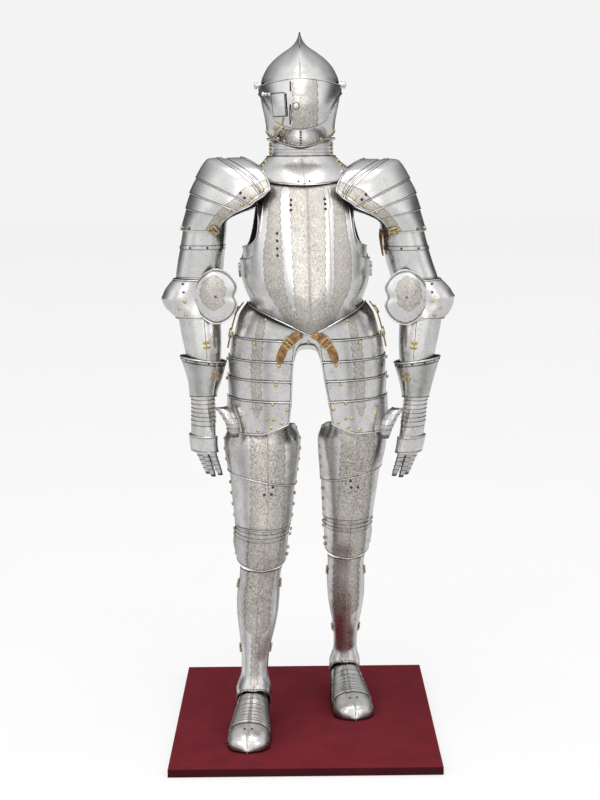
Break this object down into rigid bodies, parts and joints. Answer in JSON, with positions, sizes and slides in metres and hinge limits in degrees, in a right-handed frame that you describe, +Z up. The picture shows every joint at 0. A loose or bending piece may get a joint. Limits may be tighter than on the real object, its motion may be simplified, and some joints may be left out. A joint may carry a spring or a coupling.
{
  "type": "suit of plate armour on a display plinth",
  "caption": "Full suit of steel plate armour, posed in stride on a low cloth-covered plinth, with a turning helmet and a visor that lifts.",
  "frame": {"origin": "centre of the plinth's underside", "axes": "+Z up, the suit faces -Y, its right side towards -X"},
  "size_m": [0.7571, 0.76, 1.8068],
  "materials": {
    "steel": "polished plate",
    "leather": "tan strap leather",
    "cloth": "dark red cloth"
  },
  "bodies": {
    "suit": {"plinth": "cloth", "gorget_collar": "steel", "gorget_plate": "steel", "breastplate": "steel", "backplate": "steel", "fauld": "steel", "culet": "steel", "gusset_right": "steel", "tasset_right_1": "steel", "tasset_right_2": "steel", "tasset_right_3": "steel", "tasset_right_4": "steel", "tasset_strap_right": "leather", "pauldron_upper_right": "steel", "pauldron_main_right": "steel", "pauldron_lame_1_right": "steel", "pauldron_lame_2_right": "steel", "pauldron_lame_3_right": "steel", "upper_cannon_right": "steel", "couter_right": "steel", "lower_cannon_right": "steel", "gauntlet_cuff_right": "steel", "gauntlet_hand_right": "steel", "gauntlet_fingers_right": "steel", "gauntlet_thumb_right": "steel", "cuisse_upper_right": "steel", "cuisse_lower_right": "steel", "poleyn_right": "steel", "greave_front_right": "steel", "greave_back_right": "steel", "sabaton_right": "steel", "gusset_left": "steel", "tasset_left_1": "steel", "tasset_left_2": "steel", "tasset_left_3": "steel", "tasset_left_4": "steel", "tasset_strap_left": "leather", "pauldron_upper_left": "steel", "pauldron_main_left": "steel", "pauldron_lame_1_left": "steel", "pauldron_lame_2_left": "steel", "pauldron_lame_3_left": "steel", "upper_cannon_left": "steel", "couter_left": "steel", "lower_cannon_left": "steel", "gauntlet_cuff_left": "steel", "gauntlet_hand_left": "steel", "gauntlet_fingers_left": "steel", "gauntlet_thumb_left": "steel", "cuisse_upper_left": "steel", "cuisse_lower_left": "steel", "poleyn_left": "steel", "greave_front_left": "steel", "greave_back_left": "steel", "sabaton_left": "steel"},
    "helmet": {"helmet_skull": "steel"},
    "bevor": {"helmet_bevor": "steel"},
    "visor": {"visor": "steel"},
    "door": {"visor_door": "steel"}
  },
  "joints": [
    {"name": "helmet_turn", "type": "hinge", "parent": "suit", "child": "helmet", "pos_m": [0.005, 0.052, 1.54], "axis": [0, 0, 1], "range_deg": [-30, 30]},
    {"name": "bevor_lift", "type": "hinge", "parent": "helmet", "child": "bevor", "pos_m": [0.004, 0.06, 1.6743], "axis": [-1, 0, 0], "range_deg": [0, 30]},
    {"name": "visor_lift", "type": "hinge", "parent": "bevor", "child": "visor", "pos_m": [0.004, 0.06, 1.6743], "axis": [-1, 0, 0], "range_deg": [0, 40]},
    {"name": "door_swing", "type": "hinge", "parent": "visor", "child": "door", "pos_m": [-0.02773, -0.10169, 1.62304], "axis": [-0.0406, 0.0628, 0.9972], "range_deg": [0, 95]}
  ]
}
